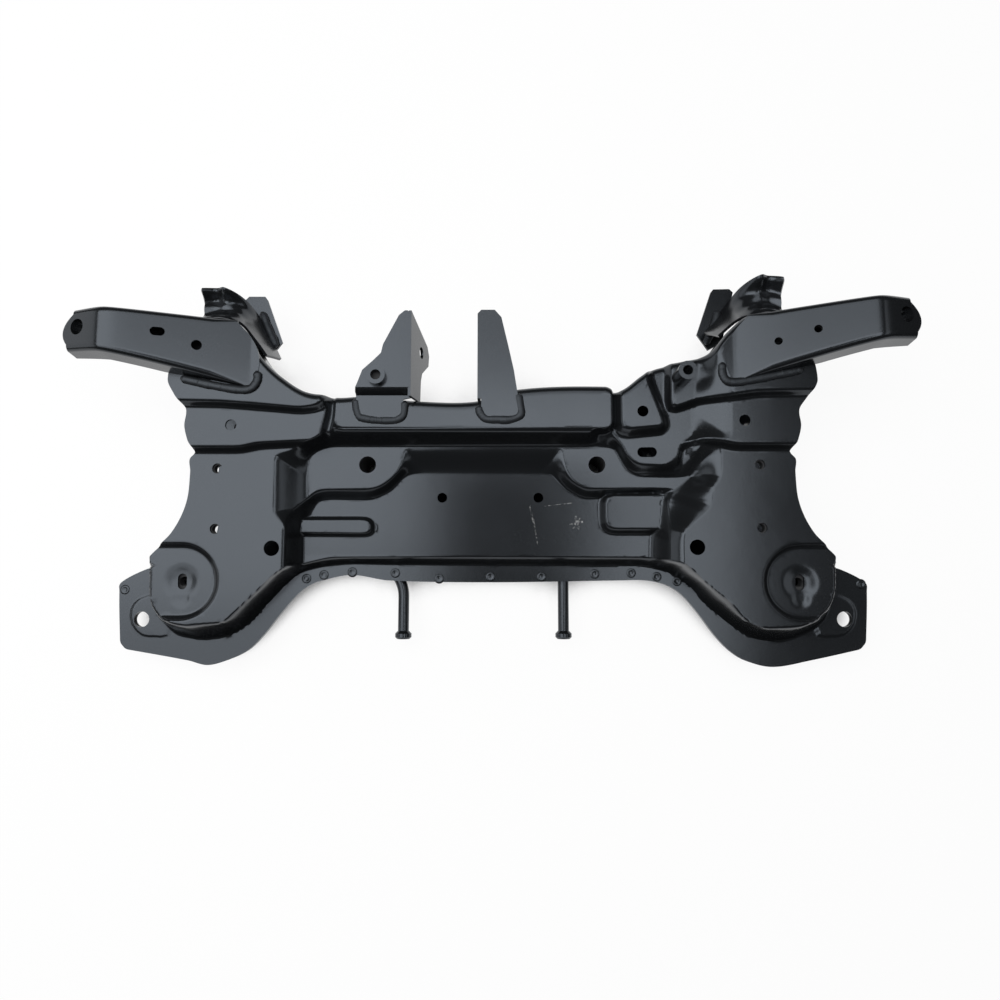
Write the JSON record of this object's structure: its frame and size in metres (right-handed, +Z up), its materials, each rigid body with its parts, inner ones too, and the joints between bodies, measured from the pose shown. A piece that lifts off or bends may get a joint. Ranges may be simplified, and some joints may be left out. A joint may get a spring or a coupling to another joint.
{
  "type": "car front subframe",
  "caption": "Pressed steel front subframe of a car: two welded shells with raised body arms, control-arm pockets, steering gear nuts and a roll mount clevis.",
  "frame": {"origin": "under the middle of the part, at the height of the lower shell's underside", "axes": "+X to the right across the car, +Y forward, +Z up, as the part sits in the car"},
  "size_m": [0.855, 0.4198, 0.1546],
  "materials": {
    "black_paint": "semi-gloss black dip coat over pressed steel",
    "bare_steel": "plain steel of weld nuts and sleeves, thinly coated"
  },
  "bodies": {
    "root": {"upper_panel": "black_paint", "lower_panel": "black_paint", "left_arm": "black_paint", "right_arm": "black_paint", "left_arm_plate": "black_paint", "right_arm_plate": "black_paint", "left_bush_bracket": "black_paint", "right_bush_bracket": "black_paint", "left_bracket_plate": "black_paint", "right_bracket_plate": "black_paint", "left_roll_ear": "black_paint", "right_roll_ear": "black_paint", "threaded_boss": "black_paint", "left_hanger_rod": "black_paint", "right_hanger_rod": "black_paint", "roll_ear_collar": "bare_steel", "roll_ear_nut": "bare_steel", "left_gear_nuts": "bare_steel", "right_gear_nuts": "bare_steel", "left_bush_nut": "bare_steel", "right_bush_nut": "bare_steel", "pad_sleeves": "bare_steel", "right_arm_nuts": "bare_steel"}
  },
  "joints": []
}
